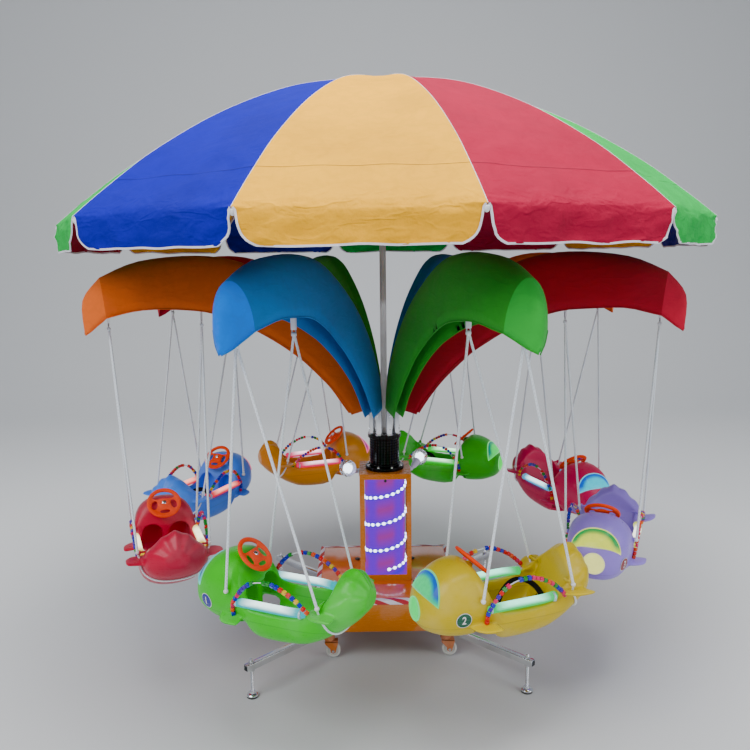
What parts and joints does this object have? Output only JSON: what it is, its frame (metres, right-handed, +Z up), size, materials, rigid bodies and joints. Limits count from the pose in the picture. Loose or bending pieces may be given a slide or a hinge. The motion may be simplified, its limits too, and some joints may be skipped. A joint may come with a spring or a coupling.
{
  "type": "chair swing ride",
  "caption": "Children's swing carousel: little cars on ropes under curved cloth petals turn round a lit column beneath a striped umbrella.",
  "frame": {"origin": "on the ground, under the centre of the column", "axes": "+Z up along the turning axis; the base's front faces -Y"},
  "size_m": [2.9488, 2.9488, 2.762],
  "materials": {
    "orange_steel": "gloss",
    "chrome_tube": "polished",
    "castor_steel": "satin",
    "castor_tread": "satin",
    "glow_acrylic": "glowing",
    "clear_lamp": "clear",
    "black_hub": "gloss",
    "umbrella_steel": "satin",
    "canopy_cloth": "matt",
    "rope_white": "matt",
    "steering_orange": "gloss",
    "petal_blue": "matt",
    "petal_green": "matt",
    "petal_red": "matt",
    "petal_orange": "matt",
    "car_green": "gloss",
    "car_yellow": "gloss",
    "car_purple": "gloss",
    "car_crimson": "gloss",
    "car_amber": "gloss",
    "car_blue": "gloss",
    "car_red": "gloss"
  },
  "bodies": {
    "stand": {"base_box": "orange_steel", "outrigger_1": "chrome_tube", "outrigger_2": "chrome_tube", "outrigger_3": "chrome_tube", "outrigger_4": "chrome_tube", "column_frame": "orange_steel", "light_column": "glow_acrylic", "ball_lamp_1": "clear_lamp", "ball_lamp_2": "clear_lamp"},
    "rotor": {"rotor_frame": "black_hub", "umbrella_frame": "umbrella_steel", "umbrella_canopy": "canopy_cloth", "petal_1": "petal_blue", "petal_2": "petal_green", "petal_3": "petal_red", "petal_4": "petal_orange", "petal_5": "petal_blue", "petal_6": "petal_green", "petal_7": "petal_red", "petal_8": "petal_orange"},
    "castor_swivel_1": {"castor_fork_1": "castor_steel"},
    "castor_roller_1": {"castor_wheel_1": "castor_tread"},
    "castor_swivel_2": {"castor_fork_2": "castor_steel"},
    "castor_roller_2": {"castor_wheel_2": "castor_tread"},
    "castor_swivel_3": {"castor_fork_3": "castor_steel"},
    "castor_roller_3": {"castor_wheel_3": "castor_tread"},
    "castor_swivel_4": {"castor_fork_4": "castor_steel"},
    "castor_roller_4": {"castor_wheel_4": "castor_tread"},
    "outer_hanger_1": {"outer_ropes_1": "rope_white"},
    "inner_hanger_1": {"inner_ropes_1": "rope_white"},
    "seat_1": {"car_1": "car_green"},
    "steering_1": {"steering_wheel_1": "steering_orange"},
    "outer_hanger_2": {"outer_ropes_2": "rope_white"},
    "inner_hanger_2": {"inner_ropes_2": "rope_white"},
    "seat_2": {"car_2": "car_yellow"},
    "steering_2": {"steering_wheel_2": "steering_orange"},
    "outer_hanger_3": {"outer_ropes_3": "rope_white"},
    "inner_hanger_3": {"inner_ropes_3": "rope_white"},
    "seat_3": {"car_3": "car_purple"},
    "steering_3": {"steering_wheel_3": "steering_orange"},
    "outer_hanger_4": {"outer_ropes_4": "rope_white"},
    "inner_hanger_4": {"inner_ropes_4": "rope_white"},
    "seat_4": {"car_4": "car_crimson"},
    "steering_4": {"steering_wheel_4": "steering_orange"},
    "outer_hanger_5": {"outer_ropes_5": "rope_white"},
    "inner_hanger_5": {"inner_ropes_5": "rope_white"},
    "seat_5": {"car_5": "car_green"},
    "steering_5": {"steering_wheel_5": "steering_orange"},
    "outer_hanger_6": {"outer_ropes_6": "rope_white"},
    "inner_hanger_6": {"inner_ropes_6": "rope_white"},
    "seat_6": {"car_6": "car_amber"},
    "steering_6": {"steering_wheel_6": "steering_orange"},
    "outer_hanger_7": {"outer_ropes_7": "rope_white"},
    "inner_hanger_7": {"inner_ropes_7": "rope_white"},
    "seat_7": {"car_7": "car_blue"},
    "steering_7": {"steering_wheel_7": "steering_orange"},
    "outer_hanger_8": {"outer_ropes_8": "rope_white"},
    "inner_hanger_8": {"inner_ropes_8": "rope_white"},
    "seat_8": {"car_8": "car_red"},
    "steering_8": {"steering_wheel_8": "steering_orange"}
  },
  "joints": [
    {"name": "rotor_spin", "type": "hinge", "parent": "stand", "child": "rotor", "pos_m": [0, 0, 0.91], "axis": [0, 0, 1], "continuous": true},
    {"name": "castor_swivel_1", "type": "hinge", "parent": "stand", "child": "castor_swivel_1", "pos_m": [-0.285, -0.285, 0.12], "axis": [0, 0, 1], "continuous": true},
    {"name": "castor_roll_1", "type": "hinge", "parent": "castor_swivel_1", "child": "castor_roller_1", "pos_m": [-0.267, -0.285, 0.041], "axis": [0, 1, 0], "continuous": true},
    {"name": "castor_swivel_2", "type": "hinge", "parent": "stand", "child": "castor_swivel_2", "pos_m": [0.285, -0.285, 0.12], "axis": [0, 0, 1], "continuous": true},
    {"name": "castor_roll_2", "type": "hinge", "parent": "castor_swivel_2", "child": "castor_roller_2", "pos_m": [0.303, -0.285, 0.041], "axis": [0, 1, 0], "continuous": true},
    {"name": "castor_swivel_3", "type": "hinge", "parent": "stand", "child": "castor_swivel_3", "pos_m": [-0.285, 0.285, 0.12], "axis": [0, 0, 1], "continuous": true},
    {"name": "castor_roll_3", "type": "hinge", "parent": "castor_swivel_3", "child": "castor_roller_3", "pos_m": [-0.267, 0.285, 0.041], "axis": [0, 1, 0], "continuous": true},
    {"name": "castor_swivel_4", "type": "hinge", "parent": "stand", "child": "castor_swivel_4", "pos_m": [0.285, 0.285, 0.12], "axis": [0, 0, 1], "continuous": true},
    {"name": "castor_roll_4", "type": "hinge", "parent": "castor_swivel_4", "child": "castor_roller_4", "pos_m": [0.303, 0.285, 0.041], "axis": [0, 1, 0], "continuous": true},
    {"name": "swing_1", "type": "hinge", "parent": "rotor", "child": "outer_hanger_1", "pos_m": [-0.53495, -1.17385, 1.84356], "axis": [-0.91, 0.4147, 0], "range_deg": [-5, 20]},
    {"name": "level_1", "type": "hinge", "parent": "outer_hanger_1", "child": "seat_1", "pos_m": [-0.51505, -1.13017, 0.71], "axis": [-0.91, 0.4147, 0], "range_deg": [-26, 7]},
    {"name": "follow_1", "type": "hinge", "parent": "rotor", "child": "inner_hanger_1", "pos_m": [-0.36908, -0.80987, 1.92405], "axis": [-0.91, 0.4147, 0], "range_deg": [-5, 19]},
    {"name": "steer_1", "type": "hinge", "parent": "seat_1", "child": "steering_1", "pos_m": [-0.52936, -0.95661, 0.805], "axis": [0.6206, -0.2828, 0.7314], "continuous": true},
    {"name": "swing_2", "type": "hinge", "parent": "rotor", "child": "outer_hanger_2", "pos_m": [0.45177, -1.20831, 1.84356], "axis": [-0.9367, -0.3502, 0], "range_deg": [-5, 20]},
    {"name": "level_2", "type": "hinge", "parent": "outer_hanger_2", "child": "seat_2", "pos_m": [0.43496, -1.16335, 0.71], "axis": [-0.9367, -0.3502, 0], "range_deg": [-26, 7]},
    {"name": "follow_2", "type": "hinge", "parent": "rotor", "child": "inner_hanger_2", "pos_m": [0.31168, -0.83364, 1.92405], "axis": [-0.9367, -0.3502, 0], "range_deg": [-5, 19]},
    {"name": "steer_2", "type": "hinge", "parent": "seat_2", "child": "steering_2", "pos_m": [0.30211, -1.05074, 0.805], "axis": [0.6388, 0.2388, 0.7314], "continuous": true},
    {"name": "swing_3", "type": "hinge", "parent": "rotor", "child": "outer_hanger_3", "pos_m": [1.17385, -0.53495, 1.84356], "axis": [-0.4147, -0.91, 0], "range_deg": [-5, 20]},
    {"name": "level_3", "type": "hinge", "parent": "outer_hanger_3", "child": "seat_3", "pos_m": [1.13017, -0.51505, 0.71], "axis": [-0.4147, -0.91, 0], "range_deg": [-26, 7]},
    {"name": "follow_3", "type": "hinge", "parent": "rotor", "child": "inner_hanger_3", "pos_m": [0.80987, -0.36908, 1.92405], "axis": [-0.4147, -0.91, 0], "range_deg": [-5, 19]},
    {"name": "steer_3", "type": "hinge", "parent": "seat_3", "child": "steering_3", "pos_m": [0.95661, -0.52936, 0.805], "axis": [0.2828, 0.6206, 0.7314], "continuous": true},
    {"name": "swing_4", "type": "hinge", "parent": "rotor", "child": "outer_hanger_4", "pos_m": [1.20831, 0.45177, 1.84356], "axis": [0.3502, -0.9367, 0], "range_deg": [-5, 20]},
    {"name": "level_4", "type": "hinge", "parent": "outer_hanger_4", "child": "seat_4", "pos_m": [1.16335, 0.43496, 0.71], "axis": [0.3502, -0.9367, 0], "range_deg": [-26, 7]},
    {"name": "follow_4", "type": "hinge", "parent": "rotor", "child": "inner_hanger_4", "pos_m": [0.83364, 0.31168, 1.92405], "axis": [0.3502, -0.9367, 0], "range_deg": [-5, 19]},
    {"name": "steer_4", "type": "hinge", "parent": "seat_4", "child": "steering_4", "pos_m": [1.05074, 0.30211, 0.805], "axis": [-0.2388, 0.6388, 0.7314], "continuous": true},
    {"name": "swing_5", "type": "hinge", "parent": "rotor", "child": "outer_hanger_5", "pos_m": [0.53495, 1.17385, 1.84356], "axis": [0.91, -0.4147, 0], "range_deg": [-5, 20]},
    {"name": "level_5", "type": "hinge", "parent": "outer_hanger_5", "child": "seat_5", "pos_m": [0.51505, 1.13017, 0.71], "axis": [0.91, -0.4147, 0], "range_deg": [-26, 7]},
    {"name": "follow_5", "type": "hinge", "parent": "rotor", "child": "inner_hanger_5", "pos_m": [0.36908, 0.80987, 1.92405], "axis": [0.91, -0.4147, 0], "range_deg": [-5, 19]},
    {"name": "steer_5", "type": "hinge", "parent": "seat_5", "child": "steering_5", "pos_m": [0.52936, 0.95661, 0.805], "axis": [-0.6206, 0.2828, 0.7314], "continuous": true},
    {"name": "swing_6", "type": "hinge", "parent": "rotor", "child": "outer_hanger_6", "pos_m": [-0.45177, 1.20831, 1.84356], "axis": [0.9367, 0.3502, 0], "range_deg": [-5, 20]},
    {"name": "level_6", "type": "hinge", "parent": "outer_hanger_6", "child": "seat_6", "pos_m": [-0.43496, 1.16335, 0.71], "axis": [0.9367, 0.3502, 0], "range_deg": [-26, 7]},
    {"name": "follow_6", "type": "hinge", "parent": "rotor", "child": "inner_hanger_6", "pos_m": [-0.31168, 0.83364, 1.92405], "axis": [0.9367, 0.3502, 0], "range_deg": [-5, 19]},
    {"name": "steer_6", "type": "hinge", "parent": "seat_6", "child": "steering_6", "pos_m": [-0.30211, 1.05074, 0.805], "axis": [-0.6388, -0.2388, 0.7314], "continuous": true},
    {"name": "swing_7", "type": "hinge", "parent": "rotor", "child": "outer_hanger_7", "pos_m": [-1.17385, 0.53495, 1.84356], "axis": [0.4147, 0.91, 0], "range_deg": [-5, 20]},
    {"name": "level_7", "type": "hinge", "parent": "outer_hanger_7", "child": "seat_7", "pos_m": [-1.13017, 0.51505, 0.71], "axis": [0.4147, 0.91, 0], "range_deg": [-26, 7]},
    {"name": "follow_7", "type": "hinge", "parent": "rotor", "child": "inner_hanger_7", "pos_m": [-0.80987, 0.36908, 1.92405], "axis": [0.4147, 0.91, 0], "range_deg": [-5, 19]},
    {"name": "steer_7", "type": "hinge", "parent": "seat_7", "child": "steering_7", "pos_m": [-0.95661, 0.52936, 0.805], "axis": [-0.2828, -0.6206, 0.7314], "continuous": true},
    {"name": "swing_8", "type": "hinge", "parent": "rotor", "child": "outer_hanger_8", "pos_m": [-1.20831, -0.45177, 1.84356], "axis": [-0.3502, 0.9367, 0], "range_deg": [-5, 20]},
    {"name": "level_8", "type": "hinge", "parent": "outer_hanger_8", "child": "seat_8", "pos_m": [-1.16335, -0.43496, 0.71], "axis": [-0.3502, 0.9367, 0], "range_deg": [-26, 7]},
    {"name": "follow_8", "type": "hinge", "parent": "rotor", "child": "inner_hanger_8", "pos_m": [-0.83364, -0.31168, 1.92405], "axis": [-0.3502, 0.9367, 0], "range_deg": [-5, 19]},
    {"name": "steer_8", "type": "hinge", "parent": "seat_8", "child": "steering_8", "pos_m": [-1.05074, -0.30211, 0.805], "axis": [0.2388, -0.6388, 0.7314], "continuous": true}
  ],
  "couplings": [
    {"joint": "level_1", "follows": "swing_1", "ratio": -1.281},
    {"joint": "follow_1", "follows": "swing_1", "ratio": 0.944},
    {"joint": "level_2", "follows": "swing_2", "ratio": -1.281},
    {"joint": "follow_2", "follows": "swing_2", "ratio": 0.944},
    {"joint": "level_3", "follows": "swing_3", "ratio": -1.281},
    {"joint": "follow_3", "follows": "swing_3", "ratio": 0.944},
    {"joint": "level_4", "follows": "swing_4", "ratio": -1.281},
    {"joint": "follow_4", "follows": "swing_4", "ratio": 0.944},
    {"joint": "level_5", "follows": "swing_5", "ratio": -1.281},
    {"joint": "follow_5", "follows": "swing_5", "ratio": 0.944},
    {"joint": "level_6", "follows": "swing_6", "ratio": -1.281},
    {"joint": "follow_6", "follows": "swing_6", "ratio": 0.944},
    {"joint": "level_7", "follows": "swing_7", "ratio": -1.281},
    {"joint": "follow_7", "follows": "swing_7", "ratio": 0.944},
    {"joint": "level_8", "follows": "swing_8", "ratio": -1.281},
    {"joint": "follow_8", "follows": "swing_8", "ratio": 0.944}
  ]
}
